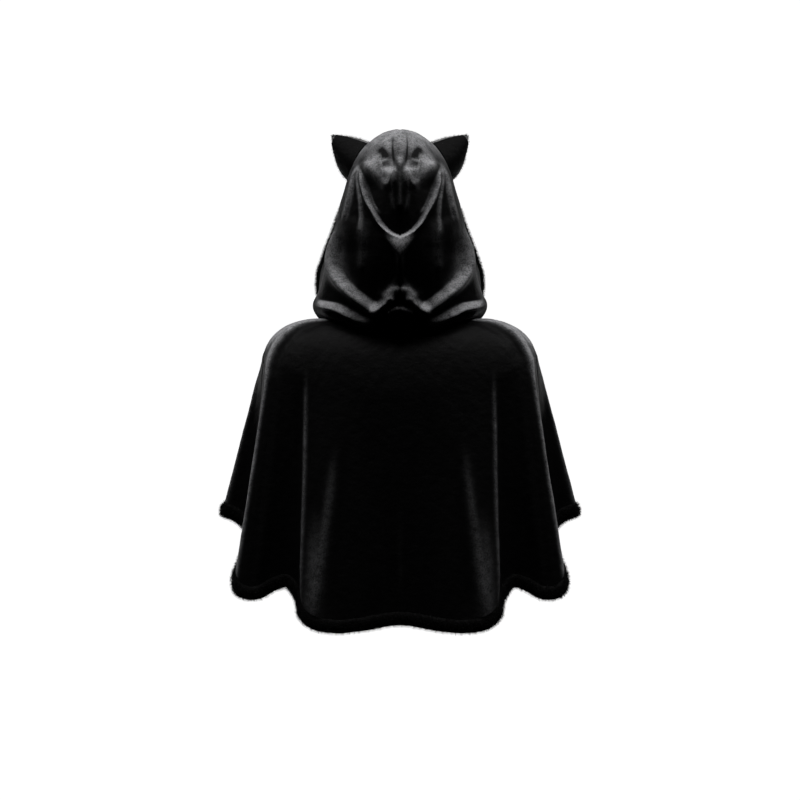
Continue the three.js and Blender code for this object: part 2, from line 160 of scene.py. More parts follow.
# %% [markdown]
# Velvet is black threads standing on end. Where the pile points at the eye, it stays black. The
# mottled grey where the cloth faces up and along the folds is painted light: a highlight painted
# into the colour where an overhead lamp would light the pile, with painted shade in some creases.
# The shader's sheen alone gives a grey haze all over, so this painted grey is mixed in by an
# attribute of the mesh that the panels below set from the way they face and from their folds.
# Noise breaks it up and raises a fine relief, as a hand stroked over the pile does.

# %% Velvet
STROKES_SCALE, TUFTS_SCALE, GRAIN_SCALE = 70.0, 420.0, 1500.0
STROKES_HEIGHT, TUFTS_HEIGHT, GRAIN_HEIGHT = 0.0016, 0.00040, 0.00014
MOTTLE_FROM = 2.15
# Grey of the painted highlight: an even share, and a share mottled by the noise
EVEN_GREY, MOTTLED_GREY = 0.22, 1.2


def noise(place, scale, detail=3.0, roughness=0.55, stretch=(1.0, 1.0, 1.0)):
    spread = place.node("ShaderNodeMapping", Vector=place, Scale=stretch)
    return place.node(
        "ShaderNodeTexNoise", Vector=spread, Scale=scale, Detail=detail, Roughness=roughness,
    )


def grey(value, blue=0.0):
    """A grey, a little blue if need be."""
    return (value, value, value + blue, 1.0)


def mixed(share, dark, light):
    return share.node("ShaderNodeMix", {"data_type": "RGBA"}, out=2, i0=share, i6=dark, i7=light)


def bumped(height, strength):
    return height.node("ShaderNodeBump", Strength=strength, Distance=1.0, Height=height)


def velvet_material():
    material, tree, shader, place = new_material("velvet")
    strokes = noise(place, STROKES_SCALE, 4.0, 0.6, (1.0, 1.0, 1.3))
    tufts = noise(place, TUFTS_SCALE, 3.0, 0.6)
    grain = noise(place, GRAIN_SCALE, 2.0)
    relief = strokes * STROKES_HEIGHT + tufts * TUFTS_HEIGHT + grain * GRAIN_HEIGHT
    put(tree, shader.inputs["Normal"], bumped(relief, 0.75))
    painted_light_share = place.node("ShaderNodeAttribute", {"attribute_name": "painted_light_share"}, out=2)
    mottle = (strokes * 1.5 + tufts * 2.0 + grain * 1.8 - MOTTLE_FROM).limited()
    share = (painted_light_share * (EVEN_GREY + MOTTLED_GREY * mottle)).limited()
    # Painted highlight: the black velvet is mixed towards grey where light is painted in
    put(tree, shader.inputs["Base Color"], mixed(share, grey(0.0007, 0.0001), grey(0.260, 0.008)))
    put(tree, shader.inputs["Roughness"], 0.46 + 0.22 * tufts)
    constants(shader, Sheen_Weight=0.05, Sheen_Roughness=0.25, Specular_IOR_Level=0.04)
    constants(shader, Sheen_Tint=(0.86, 0.86, 0.90, 1.0))
    return material


VELVET = velvet_material()
print("material:", VELVET.name)

# %% [markdown]
# The inside of a velvet panel is its woven ground, dull and plain. The ears are cut from a plush
# with a longer, softer pile, which drinks the light and hardly mottles. Both are the same few
# nodes as the velvet, with other scales, so they belong to the same cloth family.

# %% Backing and plush
def backing_material():
    material, tree, shader, place = new_material("velvet_backing")
    weave = noise(place, 1800.0, 1.0)
    shading = noise(place, 40.0, 2.0)
    put(tree, shader.inputs["Normal"], bumped(weave * 0.0002, 0.5))
    put(tree, shader.inputs["Base Color"], mixed(shading, grey(0.006, 0.001), grey(0.012, 0.001)))
    constants(shader, Roughness=0.9, Sheen_Weight=0.25, Sheen_Roughness=0.6, Specular_IOR_Level=0.2)
    return material


def plush_material():
    material, tree, shader, place = new_material("ear_plush")
    locks = noise(place, 160.0, 3.0)
    pile = noise(place, 900.0, 2.0)
    put(tree, shader.inputs["Normal"], bumped(locks * 0.0016 + pile * 0.0005, 0.8))
    put(tree, shader.inputs["Base Color"], mixed(locks, grey(0.0005), grey(0.0022, 0.0002)))
    put(tree, shader.inputs["Roughness"], 0.6 + 0.2 * pile)
    constants(shader, Specular_IOR_Level=0.04, Sheen_Weight=0.03, Sheen_Roughness=0.25)
    return material


BACKING = backing_material()
PLUSH = plush_material()
print("materials:", BACKING.name, PLUSH.name)

# %% [markdown]
# Faux fur is as black as the velvet, and its hairs are dull, so its colour only varies a little
# from lock to lock. The fur on the fronts of the ears is paler: a painted highlight that stands in
# for the light on their rims. The hook and the eye are blackened wire, worn to bare steel in
# places. Noise on each piece's own coordinates gives all of them this variation, and no picture
# is needed.

# %% Fur and steel
def fur_material(name, dark, light):
    material, tree, shader, place = new_material(name)
    locks = noise(place, 90.0, 2.0)
    put(tree, shader.inputs["Base Color"], mixed(locks, grey(dark), grey(light)))
    put(tree, shader.inputs["Roughness"], 0.6 + 0.2 * locks)
    constants(shader, Specular_IOR_Level=0.04, Sheen_Weight=0.02, Sheen_Roughness=0.3)
    return material


def steel_material():
    material, tree, shader, place = new_material("blackened_steel")
    wear = noise(place, 900.0, 3.0)
    put(tree, shader.inputs["Base Color"], mixed(wear, grey(0.03, 0.002), grey(0.20, 0.01)))
    put(tree, shader.inputs["Roughness"], 0.28 + 0.25 * wear)
    constants(shader, Metallic=1.0)
    return material


FUR = fur_material("faux_fur", 0.0005, 0.0025)
# Paler fur, a painted highlight for the light on the ears' rims
EAR_FUR_PAINTED_LIGHT = fur_material("ear_fur", 0.05, 0.30)
STEEL = steel_material()
print("materials:", FUR.name, EAR_FUR_PAINTED_LIGHT.name, STEEL.name)

# %% [markdown]
# A pattern cutter works from a few measured rings and lines. Every thread could be drawn by hand,
# but a short table is easier to change: it has a row for each ring or fold, and a smooth curve
# runs through every column. These are the pattern's own sizes, in millimetres.

# %% Smooth curves through tables
def table(names, rows):
    keys = names.split()
    return {key: np.array([row[i] for row in rows], float) for i, key in enumerate(keys)}


def smooth(rows, key, column, at):
    keys, values = rows[key], rows[column]
    steps = np.diff(values) / np.diff(keys)
    share = np.diff(keys)[:-1] / (np.diff(keys)[:-1] + np.diff(keys)[1:])
    inner = steps[:-1] * (1 - share) + steps[1:] * share
    slopes = np.concatenate([steps[:1], inner, steps[-1:]])
    i = np.clip(np.searchsorted(keys, at, side="left") - 1, 0, len(keys) - 2)
    gap = keys[i + 1] - keys[i]
    s = (at - keys[i]) / gap
    blend = s * s * (3 - 2 * s)
    value = values[i] * (1 - blend) + values[i + 1] * blend
    return value + gap * s * (1 - s) * ((1 - s) * slopes[i] - s * slopes[i + 1])


def ease(value, low, high):
    s = np.clip((value - low) / (high - low), 0, 1)
    return s * s * (3 - 2 * s)


def power(value, exponent):
    return np.sign(value) * np.abs(value) ** exponent


SHOULDER_RINGS = table("run half back front backZ sideZ frontZ", [
    (0.00, 118, 70, 74, -11, 11, -47),
    (0.25, 151, 82, 90, -27, 9, -61),
    (0.50, 184, 94, 104, -49, -2, -79),
    (0.75, 207, 104, 114, -77, -22, -98),
    (1.00, 220, 112, 121, -109, -50, -119),
    (1.25, 230, 118, 127, -146, -86, -146),
])
MEAN_HEM = (260.0, 148.0, 152.0)
HEM_FOLDS = table("turn x y z", [
    (-15, -62, 171, -455),
    (0, 0, 159, -447),
    (16, 67, 172, -456),
    (24, 100, 176, -458),
    (31, 130, 168, -453),
    (37, 149, 148, -438),
    (42, 158, 122, -412),
    (47, 174, 102, -393),
    (53, 200, 98, -398),
    (60, 229, 103, -412),
    (66, 251, 90, -405),
    (71, 257, 66, -385),
    (76, 247, 41, -350),
    (81, 238, 22, -322),
    (87, 252, 3, -298),
    (94, 276, -12, -286),
    (101, 280, -38, -287),
    (108, 260, -62, -298),
    (116, 238, -82, -312),
    (124, 224, -110, -326),
    (133, 193, -137, -338),
    (143, 150, -142, -347),
    (153, 116, -165, -355),
    (163, 76, -169, -361),
    (172, 38, -160, -365),
    (180, 7, -170, -367),
])
SHOULDER_SHARE = 0.3
SECTION_POWER = 2.12
FOLD_GROWTH = 0.95
SIDE_SEAM_TURN = 81.0
FRONT_EDGE_TURN = 178.0
SEAM_LAP = 0.3
print("shoulder rings:", len(SHOULDER_RINGS["run"]), "hem folds:", len(HEM_FOLDS["turn"]))

# %% [markdown]
# The cape hangs from the shoulders. A cloth simulation could find such a form, but not these very
# folds, so the form is a formula: rings carry the cloth out from the neck seam, and from the
# shoulder line each thread runs nearly straight down to its place in the folded hem.

# %% The cape's surface
def ring_point(half, back, front, back_z, side_z, front_z, turn, squareness):
    c, s = np.cos(np.radians(turn)), np.sin(np.radians(turn))
    depth = np.where(c > 0, back, front)
    end_z = np.where(c > 0, back_z, front_z)
    x = half * power(s, 2 / squareness)
    y = depth * power(c, 2 / squareness)
    return np.stack([x, y, side_z + (end_z - side_z) * c * c], -1)


def cape_smooth(turn, drop):
    """Points of the cape, for turns in degrees from the middle of the back and drops of 0 to 1."""
    side = np.where(turn < 0, -1.0, 1.0)
    around = np.abs(turn)
    run = drop / SHOULDER_SHARE
    held = np.minimum(run, 1)
    squareness = 2 + (SECTION_POWER - 2) * held
    ring = [smooth(SHOULDER_RINGS, "run", name, held) for name in list(SHOULDER_RINGS)[1:]]
    point = ring_point(*ring, around, squareness)
    hang = np.clip((drop - SHOULDER_SHARE) / (1 - SHOULDER_SHARE), 0, None)
    mean = ring_point(*MEAN_HEM, 0.0, 0.0, 0.0, around, SECTION_POWER)
    hem = np.stack([smooth(HEM_FOLDS, "turn", name, around) for name in "xyz"], -1)
    hung, grown = hang[..., None], (hang ** FOLD_GROWTH)[..., None]
    level = point + (mean - point) * hung + (hem - mean) * grown
    level[..., 2] = point[..., 2] + (hem[..., 2] - point[..., 2]) * hang
    level[..., 0] *= side
    return level


print("middle of the back hem:", cape_smooth(np.array([0.0]), np.array([1.0]))[0].round(1).tolist())

# %% [markdown]
# A hanging cloth breaks into long creases, which catch the light along their backs. Noise would
# put them anywhere, so they are placed one by one: each row says how far round the cape the
# crease lies at its top and its foot, between which drops it runs, how wide and high it stands,
# and how much highlight is painted along it. A negative height is a trough. Both halves of this
# cape hang alike.

# %% Creases of the cape
CAPE_CREASES = [
    # turn above and below, drop where it starts and ends, spread in degrees, height, painted highlight
    ("shoulder trough", 60.0, 62.0, -0.20, 0.36, 5.0, -3.4, 0.0),
    ("shoulder ridge", 71.0, 70.0, -0.20, 0.40, 4.5, 3.4, 1.0),
    ("shoulder top", 84.0, 82.0, -0.20, 0.32, 8.0, 0.0, 0.9),
    ("middle ridge", 0.0, 0.0, 0.62, 1.00, 1.3, 1.2, 0.015),
    ("beside the middle", 5.5, 4.5, 0.45, 1.05, 2.2, -1.8, 0.0),
    ("long trough", 12.5, 11.0, 0.30, 1.10, 3.5, -2.6, 0.0),
    ("lit band", 25.0, 32.0, 0.46, 1.05, 2.6, 5.0, 0.12),
    ("band foot", 32.0, 33.5, 0.66, 1.18, 5.5, 3.4, 0.14),
    ("band shadow", 20.5, 26.5, 0.40, 1.05, 2.6, -2.6, 0.0),
    ("corner ridge", 41.0, 38.5, 0.26, 1.02, 1.9, 3.0, 0.30),
    ("corner shadow", 44.5, 43.0, 0.30, 1.10, 2.2, -3.0, 0.0),
    ("side back ridge", 57.0, 56.0, 0.24, 0.90, 2.4, 1.4, 0.0),
    ("side back trough", 61.5, 61.0, 0.40, 1.10, 2.0, -2.4, 0.0),
    ("flute edge", 68.5, 69.5, 0.16, 1.10, 2.2, 2.4, 0.6),
    ("side edge", 95.0, 97.0, 0.25, 1.10, 3.5, 2.0, 0.25),
    ("side trough", 104.0, 103.0, 0.30, 1.10, 2.5, -2.6, 0.0),
    ("arm ridge", 112.0, 111.0, 0.26, 0.80, 2.0, 2.2, 0.2),
    ("front ridge", 122.0, 124.0, 0.24, 1.10, 2.6, 2.6, 0.35),
    ("front trough", 130.0, 129.0, 0.35, 1.10, 2.2, -2.4, 0.0),
    ("inner ridge", 150.0, 152.0, 0.22, 1.10, 2.6, 2.8, 0.35),
    ("inner trough", 158.5, 158.0, 0.32, 1.10, 2.2, -2.0, 0.0),
    ("edge ridge", 168.0, 170.0, 0.30, 1.10, 2.0, 1.8, 0.2),
]
CREASE_START, CREASE_END = 0.22, 0.12
PAINTED_LIGHT_SPREAD = 0.6


def crease_height(turn, drop):
    """The height of the creases, and the highlight painted along them."""
    around = np.abs(turn)
    height, painted_light = np.zeros_like(around), np.zeros_like(around)
    for _, above, below, start, end, spread, rise, bright in CAPE_CREASES:
        share = np.clip((drop - start) / (end - start), 0, 1)
        centre = above + (below - above) * share
        fade = ease(drop, start, start + CREASE_START) * (1 - ease(drop, end - CREASE_END, end))
        height += rise * fade * np.exp(-((around - centre) / spread) ** 2)
        painted_light += bright * fade * np.exp(-((around - centre) / (spread * PAINTED_LIGHT_SPREAD)) ** 2)
    return height, painted_light


UNEVEN = [
    # length of the wave, its direction in x, y and z, and its height
    (71, 0.9, 0.3, 0.2, 0.30),
    (53, -0.7, 0.6, 0.3, 0.22),
    (29, 0.8, -0.5, 0.3, 0.12),
    (19, -0.6, -0.3, 0.6, 0.08),
]


def unevenness(points):
    """The gentle unevenness of a cloth that has been worn and folded."""
    height = np.zeros(points.shape[:-1])
    for length, a, b, c, rise in UNEVEN:
        phase = (points @ np.array([a, b, c])) * 2 * math.pi / length
        height += rise * np.sin(phase + 1.7 * np.sin(phase * 0.37 + length))
    return height


print("creases:", len(CAPE_CREASES), "waves:", len(UNEVEN))

# %% [markdown]
# Folds are raised along the normals of the cloth, the directions that stand square to it. Blender
# gives a mesh its normals, but here every panel is still a grid of points, so they come straight
# from the differences between neighbours. Along a seam the cloth dips, as the stitches pull it in.

# %% Grids of points
CLOTH = 2.0
SEAM_DIP, SEAM_WIDTH = 1.1, 3.0


def grid_normals(points):
    along = np.gradient(points, axis=0)
    upward = np.gradient(points, axis=1)
    normals = np.cross(along, upward)
    return normals / np.linalg.norm(normals, axis=-1, keepdims=True)


def square_metres(points):
    along, across = np.diff(points, axis=0)[:, :-1], np.diff(points, axis=1)[:-1]
    return round(np.linalg.norm(np.cross(along, across), axis=-1).sum() * MM * MM, 3)


def edge_distance(points, axis, last):
    """Distance along the cloth from its first edge on an axis of the grid, or from the last."""
    lengths = np.linalg.norm(np.diff(points, axis=axis), axis=-1)
    total = np.cumsum(lengths, axis=axis)
    start = np.zeros_like(np.take(total, [0], axis=axis))
    from_first = np.concatenate([start, total], axis=axis)
    return np.take(from_first, [-1], axis=axis) - from_first if last else from_first


def seam_dips(points, seams):
    """How deep the cloth dips, for seams given as (axis, True for the last edge)."""
    dip = np.zeros(points.shape[:2])
    for axis, last in seams:
        dip += SEAM_DIP * np.exp(-(edge_distance(points, axis, last) / SEAM_WIDTH) ** 2)
    return dip


print("cloth:", CLOTH, "mm thick")

# %% [markdown]
# Every panel is a cut piece of cloth with two faces and an edge. A Solidify modifier could give it
# its thickness, but both faces are already grids, so they are joined directly: the outer face, the
# inner face 2 mm behind it, and a rim that closes the two. An attribute on the points says how much
# painted highlight the velvet gets there.

# %% Shells
SHARP_DEGREES = 60.0
# Painted highlight where the cloth faces up: the upward share where it starts and is full, and its most
TOP_LIT_FROM, TOP_LIT_TO, TOP_LIT_MOST = 0.34, 0.86, 0.72


def finished_piece(name, mesh):
    """Turns the faces of a closed mesh outwards and puts it in the scene."""
    sorted_out = bmesh.new()
    sorted_out.from_mesh(mesh)
    if sorted_out.calc_volume(signed=True) < 0:
        bmesh.ops.reverse_faces(sorted_out, faces=sorted_out.faces)
    sorted_out.to_mesh(mesh)
    sorted_out.free()
    piece = bpy.data.objects.new(name, mesh)
    bpy.context.scene.collection.objects.link(piece)
    return piece


def shell(name, outer, inner, materials):
    """A closed wall between two grids of points in millimetres."""
    columns, rows = outer.shape[:2]
    vertices = np.concatenate([outer.reshape(-1, 3), inner.reshape(-1, 3)]) * MM
    index = np.arange(columns * rows).reshape(columns, rows)
    under = index + columns * rows
    face = [index[:-1, :-1], index[:-1, 1:], index[1:, 1:], index[1:, :-1]]
    back = [under[:-1, :-1], under[1:, :-1], under[1:, 1:], under[:-1, 1:]]
    rims = [
        [index[:-1, 0], index[1:, 0], under[1:, 0], under[:-1, 0]],
        [index[:-1, -1], under[:-1, -1], under[1:, -1], index[1:, -1]],
        [index[0, :-1], under[0, :-1], under[0, 1:], index[0, 1:]],
        [index[-1, :-1], index[-1, 1:], under[-1, 1:], under[-1, :-1]],
    ]
    parts = [np.stack([side.ravel() for side in quad], -1) for quad in [face, back] + rims]
    kinds = [1 if i == 1 else 0 for i, part in enumerate(parts) for _ in part]
    mesh = bpy.data.meshes.new(name)
    mesh.from_pydata(vertices.tolist(), [], np.concatenate(parts).tolist())
    for material in materials:
        mesh.materials.append(material)
    mesh.polygons.foreach_set("material_index", kinds)
    mesh.polygons.foreach_set("use_smooth", [True] * len(kinds))
    mesh.set_sharp_from_angle(angle=math.radians(SHARP_DEGREES))
    return finished_piece(name, mesh)


def paint_light(piece, upward, painted_light):
    """Marks where light is painted into the velvet: where the cloth faces upwards, and along folds."""
    painted_share = np.clip(TOP_LIT_MOST * ease(upward, TOP_LIT_FROM, TOP_LIT_TO) + painted_light, 0, 1).ravel()
    mark = piece.data.attributes.new("painted_light_share", "FLOAT", "POINT")
    mark.data.foreach_set("value", np.concatenate([painted_share, painted_share * 0]))


def dress(piece, node):
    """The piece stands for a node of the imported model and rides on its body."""
    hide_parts(node)
    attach(piece, BODY)
    return piece


print("faces meet sharply from", SHARP_DEGREES, "degrees on")

# %% [markdown]
# The back and the fronts are cut to different widths, but they use one surface between different
# turns, so they meet at the side seams by themselves. Columns could stand at equal angles. They
# stand at equal steps along the hem instead, so the folds get as many of them as they need.

# %% Back and fronts
CAPE_ROWS, ROW_CROWDING = 120, 1.08
SETTLED_DROP = 0.12
SHOULDER_TURNS = (54.0, 76.0)
SEAM = SIDE_SEAM_TURN


def even_turns(start, end, count):
    fine = np.linspace(start, end, 2001)
    hem = cape_smooth(fine, np.ones_like(fine))
    lengths = np.concatenate([[0], np.cumsum(np.linalg.norm(np.diff(hem, axis=0), axis=-1))])
    return np.interp(np.linspace(0, lengths[-1], count), lengths, fine)


def cape_panel(node, start, end, count, seams):
    drops = np.linspace(0, 1, CAPE_ROWS) ** ROW_CROWDING
    turn, drop = np.meshgrid(even_turns(start, end, count), drops, indexing="ij")
    points = cape_smooth(turn, drop)
    normals = grid_normals(points)
    height, painted_light = crease_height(turn, drop)
    raised = (height + unevenness(points)) * ease(drop, 0.0, SETTLED_DROP)
    outer = points + normals * (raised - seam_dips(points, seams))[..., None]
    facing = grid_normals(outer)
    piece = shell(node + "_velvet", outer, outer - facing * CLOTH, [VELVET, BACKING])
    # Painted highlight where the shoulders face up, and along the creases
    paint_light(piece, facing[..., 2] * ease(np.abs(turn), *SHOULDER_TURNS), painted_light)
    print(piece.name, len(piece.data.polygons), "faces,", square_metres(outer), "square metres")
    return dress(piece, node), points, normals


PANELS = {}
for node, start, end, count, seams in [
    ("back", -SEAM - SEAM_LAP, SEAM + SEAM_LAP, 280, [(0, False), (0, True)]),
    ("front_left", SEAM - SEAM_LAP, FRONT_EDGE_TURN, 130, [(0, False)]),
    ("front_right", -FRONT_EDGE_TURN, -SEAM + SEAM_LAP, 130, [(0, True)]),
]:
    PANELS[node] = cape_panel(node, start, end, count, seams)

# %% [markdown]
# The hood is two halves joined along the crown. It could be a sphere pulled into shape, but a real
# hood is cut flat and sewn, so it is built as it is sewn. Each arc of the surface runs from the
# centre seam round the widest point of the side to the edge of the face opening.

# %% The hood's surface
SIDE_SHARE = 0.6
NECK_BLEND, NECK_TUCK = 0.1, 2.0
BROW_ARC, BROW_BLEND = 28.0, 0.12
HOOD_ARCS = table("up seamY seamZ sideX sideY sideZ edgeX edgeY edgeZ", [
    (0.000, 70, -11, 118, 0, 11, 4, -74, -47),
    (0.044, 88, 2, 131, -3, 16, 30, -87, -38),
    (0.092, 96, 25, 139, -6, 25, 64, -96, -20),
    (0.164, 101, 60, 134, -8, 43, 112, -100, 12),
    (0.245, 104, 100, 126, -8, 68, 131, -97, 48),
    (0.325, 104, 140, 119, -7, 96, 132, -94, 82),
    (0.405, 102, 180, 112, -5, 126, 125, -94, 114),
    (0.475, 96, 215, 106, -3, 153, 113, -96, 144),
    (0.550, 84, 250, 99, -2, 181, 101, -99, 176),
    (0.620, 64, 280, 91, -4, 208, 91, -102, 204),
    (0.690, 36, 302, 84, -10, 233, 83, -105, 226),
    (0.770, 0, 314, 74, -24, 257, 74, -108, 246),
    (0.870, -50, 310, 60, -55, 279, 61, -111, 262),
    (0.950, -90, 297, 46, -90, 285, 49, -112, 273),
    (1.000, -112, 288, 32, -113, 283, 40, -113, 278),
])


def hood_form(across, up):
    """Points of a hood half: across from the centre seam to the face, up from neck to brow."""
    arc = {name: smooth(HOOD_ARCS, "up", name, up) for name in list(HOOD_ARCS)[1:]}
    point = np.zeros(across.shape + (3,))
    share = SIDE_SHARE
    beyond = np.clip((across - SIDE_SHARE) / (1 - SIDE_SHARE), 0, None)
    swing = np.minimum(across / SIDE_SHARE, 1)
    to_side = arc["sideX"] * np.sin(swing * math.pi / 2)
    point[..., 0] = to_side + (arc["edgeX"] - arc["sideX"]) * beyond * beyond
    for axis, name in ((1, "Y"), (2, "Z")):
        seam, side, edge = arc["seam" + name], arc["side" + name], arc["edge" + name]
        slope = (side - seam) / share * (1 - share) + (edge - side) / (1 - share) * share
        first = np.clip(across / share, None, 1)
        ease_first = first * first * (3 - 2 * first)
        near = seam * (1 - ease_first) + side * ease_first
        near -= share * first * (1 - first) * first * slope
        last = (edge - side) / (1 - share)
        ease_last = beyond * beyond * (3 - 2 * beyond)
        far = side * (1 - ease_last) + edge * ease_last
        far += (1 - share) * beyond * (1 - beyond) * ((1 - beyond) * slope - beyond * last)
        point[..., axis] = np.where(across < share, near, far)
    return point


def brow_point(across):
    """The brow is an arc from the centre seam to the end of the side edge."""
    last = {name: column[-1] for name, column in HOOD_ARCS.items()}
    radius = last["edgeX"] / math.sin(math.radians(BROW_ARC))
    angle = np.radians(BROW_ARC * across)
    y = last["seamY"] + (last["edgeY"] - last["seamY"]) * across
    return np.stack([radius * np.sin(angle), y, last["seamZ"] - radius * (1 - np.cos(angle))], -1)


def hood_smooth(across, up):
    """The hood's form, with its foot drawn to the neck seam and its top to the brow."""
    point = hood_form(across, up)
    front_turn = 90 + (FRONT_EDGE_TURN - 90) * (across - SIDE_SHARE) / (1 - SIDE_SHARE)
    turn = np.where(across < SIDE_SHARE, 90 * across / SIDE_SHARE, front_turn)
    neck = [SHOULDER_RINGS[name][0] for name in list(SHOULDER_RINGS)[1:]]
    seam = ring_point(*neck, turn, 2.0) - np.array([0, 0, NECK_TUCK])
    hold = np.clip(1 - up / NECK_BLEND, 0, 1) ** 2
    point = point + (seam - hood_form(across, np.zeros_like(up))) * hold[..., None]
    hold = np.clip((up - 1 + BROW_BLEND) / BROW_BLEND, 0, 1) ** 2
    return point + (brow_point(across) - hood_form(across, np.ones_like(up))) * hold[..., None]


print("top of the crown:", round(float(HOOD_ARCS["seamZ"].max()), 1), "mm above the neck seam")

# %% [markdown]
# The back of the hood is the busiest cloth: the crown overhangs a deep cowl with a rolled lip, two
# swags fall to a gathered knot above the nape, and rolls lie over the neck seam. They could be
# sculpted by hand. In code, each fold is a ridge drawn on the hood as seen from behind. Above its
# ridge the cloth sinks to a floor within some reach, and below it rounds off over some spread.
# A negative ridge is a groove. Along each fold a highlight is painted into the colour, or
# painted shade where its share is negative.

# %% Folds of the hood
HOOD_FOLDS = [
    # name, ridge, reach above, floor, spread below, painted light and its width, then the line: x and z
    ("cowl", 6.0, 3.2, -9.0, 5.5, 0.45, 1.4, [
        (66, 254), (63, 237), (59, 215), (52, 193), (42, 174), (31, 155), (19, 143), (6, 136), (0, 134),
    ]),
    ("second lip", 3.6, 3.2, 0.0, 3.0, 0.15, 2.0, [
        (62, 245), (57, 215), (49, 193), (40, 178), (33, 170),
    ]),
    ("side line", 3.0, 3.0, -1.0, 5.0, 0.4, 2.2, [
        (66, 256), (68, 224), (64, 193), (61, 150), (60, 130),
    ]),
    ("temple", 3.6, 3.2, -2.0, 4.0, 0.5, 2.4, [(66, 256), (74, 233), (83, 190), (90, 160)]),
    ("cheek", 2.4, 9.0, 0.0, 9.0, 0.08, 7.0, [(60, 170), (60, 142), (64, 100), (66, 78)]),
    ("crown lobe", 8.5, 34.0, 0.0, 7.0, 0.62, 9.0, [
        (60, 260), (55, 254), (44, 241), (31, 226), (22, 218), (15, 224), (12, 236), (11, 248),
    ]),
    ("crown crease", -2.2, 4.0, 0.0, 4.0, -0.12, 6.0, [
        (12, 304), (13, 295), (14, 283), (13, 268), (12, 250),
    ]),
    ("dimple", -2.6, 10.0, 0.0, 10.0, -0.34, 9.0, [(37, 276), (31, 270), (27, 264), (24, 258)]),
    ("middle pleat", 5.0, 5.0, 0.0, 5.0, 0.12, 3.0, [(0, 268), (0, 250), (0, 205), (0, 186)]),
    ("far pleat", 2.6, 3.5, 0.0, 3.5, 0.1, 3.0, [(9, 250), (11, 238), (15, 214), (13, 190), (10, 172)]),
    ("swag", 10.0, 15.0, -8.0, 7.0, 0.40, 6.0, [
        (102, 160), (110, 132), (112, 104), (107, 80), (98, 64), (82, 48), (59, 30), (38, 15), (22, 8),
    ]),
    ("flank", 7.0, 14.0, 0.0, 5.0, 0.70, 5.0, [
        (48, 17), (38, 21), (28, 27), (18, 34), (11, 38), (5, 39),
    ]),
    ("knot top", 5.0, 9.0, 0.0, 12.0, 0.30, 8.0, [(27, 36), (21, 44), (13, 50), (0, 52)]),
    ("knot middle", -2.0, 3.0, 0.0, 3.0, -0.4, 3.0, [(0, 66), (0, 54), (0, 44), (0, 32)]),
    ("notch", -4.5, 4.0, 0.0, 3.5, -0.9, 4.0, [(19, 24), (15, 27), (8, 31), (0, 35)]),
    ("low dome", 6.0, 6.0, 0.0, 7.0, 0.35, 4.0, [(22, 15), (15, 19), (8, 22), (0, 23)]),
    ("swag side", 0.0, 8.0, 0.0, 8.0, 0.12, 9.0, [
        (95, 168), (101, 150), (104, 125), (103, 100), (97, 78), (87, 62), (74, 50),
    ]),
    ("upper roll", 10.0, 9.0, -3.0, 5.0, 1.2, 4.5, [
        (140, 36), (130, 32), (116, 28), (100, 24), (84, 16), (66, 6), (50, 0), (38, -2),
    ]),
    ("lower roll", 6.0, 6.0, -1.0, 4.0, 0.6, 4.0, [
        (136, 22), (122, 18), (106, 12), (86, 2), (66, -6), (40, -9),
    ]),
    ("side pleat", 2.6, 3.0, 0.0, 3.0, 0.5, 1.8, [
        (96, 170), (99, 160), (109, 130), (122, 80), (133, 38), (134, 30),
    ]),
]
print("folds:", len(HOOD_FOLDS))

# %% [markdown]
# A point of the hood is above or below a fold's line, and so far from it. Blender's own shrinkwrap
# and proximity nodes give a distance without a side, so both are worked out here, leg by leg.

# %% Distance from a fold
LINE_POINTS = 40


def smooth_line(points):
    """The fold's line, drawn smoothly through its points."""
    corners = np.array(points, float)
    lengths = np.concatenate([[0], np.cumsum(np.hypot(*np.diff(corners, axis=0).T))])
    rows = {"at": lengths, "x": corners[:, 0], "z": corners[:, 1]}
    at = np.linspace(0, lengths[-1], LINE_POINTS)
    return np.stack([smooth(rows, "at", "x", at), smooth(rows, "at", "z", at)], -1)


def line_distance(line, x, z):
    """Distance from the line, less than nothing above it, and the share of the way along it."""
    best = np.full(x.shape, np.inf)
    above = np.zeros(x.shape, bool)
    along = np.zeros(x.shape)
    for i, ((ax, az), (bx, bz)) in enumerate(zip(line[:-1], line[1:])):
        dx, dz = bx - ax, bz - az
        t = np.clip(((x - ax) * dx + (z - az) * dz) / (dx * dx + dz * dz), 0, 1)
        far = np.hypot(x - ax - t * dx, z - az - t * dz)
        nearer = far < best
        along = np.where(nearer, (i + t) / (len(line) - 1), along)
        above = np.where(nearer, dx * (z - az) - dz * (x - ax) < 0, above)
        best = np.minimum(far, best)
    return np.where(above, -best, best), along


print("legs of a line:", LINE_POINTS - 1)

# %% [markdown]
# All folds are added up, each one fading at its ends. Two things stand apart. Under the lip's
# lowest point a tongue of cloth swells out, with a pointed foot. And the folds fade out towards
# the front of the hood, which has only a few soft creases along its arcs.

# %% Height of the folds
TONGUE_TOP, TONGUE_FOOT, TONGUE_HALF = 135.0, 106.0, 24.0
TONGUE_START, TONGUE_SLOPE, TONGUE_UNDER, TONGUE_PAINTED_LIGHT = 6.5, 0.34, 20.0, 0.7
LIP_CURVE = 0.022
FOLD_START, FOLD_END = 0.26, 0.84
PAINTED_LIGHT_ABOVE = 0.3
FLOOR_FADE = 42.0
CROWN_FROM, CROWN_TO = 212.0, 252.0
FADE_FROM, FADE_TO = -10.0, 35.0


